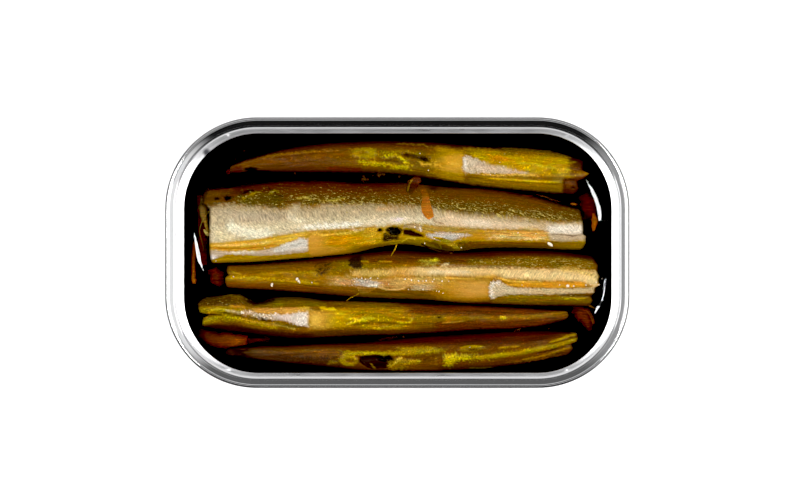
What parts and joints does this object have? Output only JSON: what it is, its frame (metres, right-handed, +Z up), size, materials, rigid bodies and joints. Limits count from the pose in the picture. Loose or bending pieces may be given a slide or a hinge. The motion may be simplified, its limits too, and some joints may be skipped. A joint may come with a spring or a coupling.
{
  "type": "open tin of garfish in oil",
  "caption": "Open flat drawn metal tin with rounded corners and the seamed ring of its removed lid, filled with headless garfish lying lengthwise in amber oil.",
  "frame": {"origin": "centre of the underside, on the surface that the tin stands on", "axes": "+X along the tin's length, +Y across it towards the first garfish, +Z up"},
  "size_m": [0.108, 0.063, 0.028],
  "materials": {
    "tin_metal": "plain drawn sheet metal, softly polished, with fine rubbing marks along the wall",
    "ring_metal": "bright rolled seam with a mirror-like crest and a finely brushed torn ledge",
    "oil": "clear deep amber oil, black where it is deep",
    "gold_skin": "wet golden brown fish skin and flesh with long fibres and green-gold scale flecks",
    "silver_skin": "wet silvery cream flank with a dark brown back and golden belly stripes"
  },
  "bodies": {
    "root": {"tin_body": "tin_metal", "lid_ring": "ring_metal", "oil": "oil", "garfish_1": "gold_skin", "garfish_2": "silver_skin", "garfish_3": "silver_skin", "garfish_4": "gold_skin", "garfish_5": "gold_skin"}
  },
  "joints": []
}
